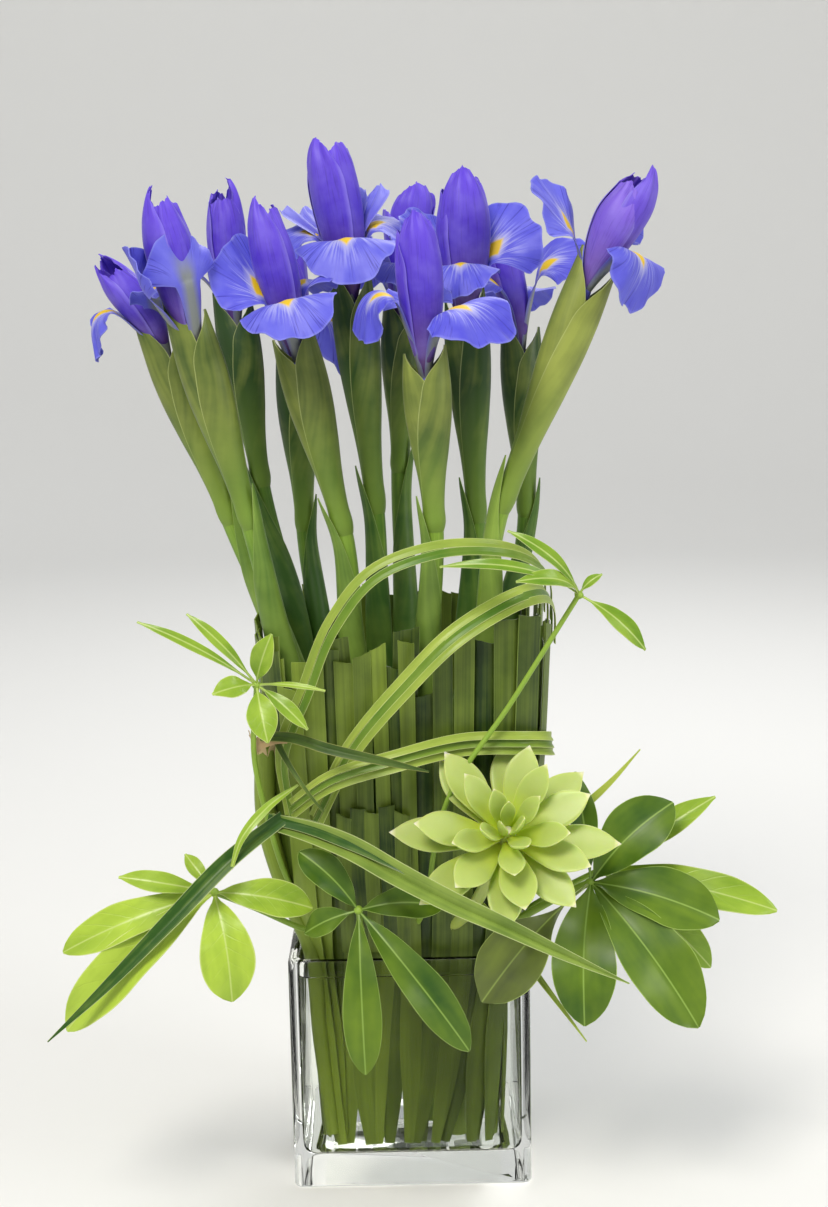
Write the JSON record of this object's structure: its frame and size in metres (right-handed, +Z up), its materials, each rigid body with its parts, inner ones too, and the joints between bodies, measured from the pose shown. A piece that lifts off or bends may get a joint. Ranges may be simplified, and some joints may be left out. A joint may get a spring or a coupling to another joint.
{
  "type": "flower arrangement in a vase",
  "caption": "Cut irises in a clear glass cube vase, with a bundle of strap leaves, arching grass, umbrella-tree leaves and a pale echeveria rosette.",
  "frame": {"origin": "middle of the vase's flat underside", "axes": "+Z up; -Y is the front, the side with the rosette; +X is to the right seen from the front"},
  "size_m": [0.3637, 0.2607, 0.5405],
  "materials": {
    "vase_glass": "clear polished glass",
    "water_clear": "clear water",
    "strap_green": "dark green strap leaves, satin",
    "stem_green": "olive green stems and bracts, matt",
    "petal_blue": "blue-violet petals with yellow marks, velvety",
    "grass_lime": "yellow-green grass, satin",
    "blade_green": "mid green strap leaf, satin",
    "torn_olive": "dull olive leaf with a dry end",
    "leaf_bright": "bright green glossy leaflets",
    "leaf_dark": "dark green glossy leaflets",
    "rosette_pale": "pale yellow-green fleshy leaves, waxy"
  },
  "bodies": {
    "root": {"bloom_far_left": "petal_blue", "bloom_far_right": "petal_blue", "bloom_front": "petal_blue", "bloom_left_back": "petal_blue", "bloom_left_bud": "petal_blue", "bloom_left_ragged": "petal_blue", "bloom_mid_back": "petal_blue", "bloom_right_back": "petal_blue", "bloom_right_far_back": "petal_blue", "bloom_right_mid": "petal_blue", "bloom_tallest": "petal_blue", "echeveria": "rosette_pale", "folded_blade": "blade_green", "grass_arc": "grass_lime", "grass_double": "grass_lime", "grass_wrap": "grass_lime", "pale_tip": "grass_lime", "small_leaf": "leaf_bright", "stem_far_left": "stem_green", "stem_far_right": "stem_green", "stem_front": "stem_green", "stem_left_back": "stem_green", "stem_left_bud": "stem_green", "stem_left_ragged": "stem_green", "stem_mid_back": "stem_green", "stem_right_back": "stem_green", "stem_right_far_back": "stem_green", "stem_right_mid": "stem_green", "stem_tallest": "stem_green", "strap_bundle": "strap_green", "thin_blade": "blade_green", "torn_leaf": "torn_olive", "vase": "vase_glass", "water": "water_clear", "whorl_left_low": "leaf_bright", "whorl_left_mid": "leaf_bright", "whorl_mid_low": "leaf_dark", "whorl_right_back": "leaf_bright", "whorl_right_low": "leaf_dark", "whorl_young": "leaf_bright"}
  },
  "joints": []
}
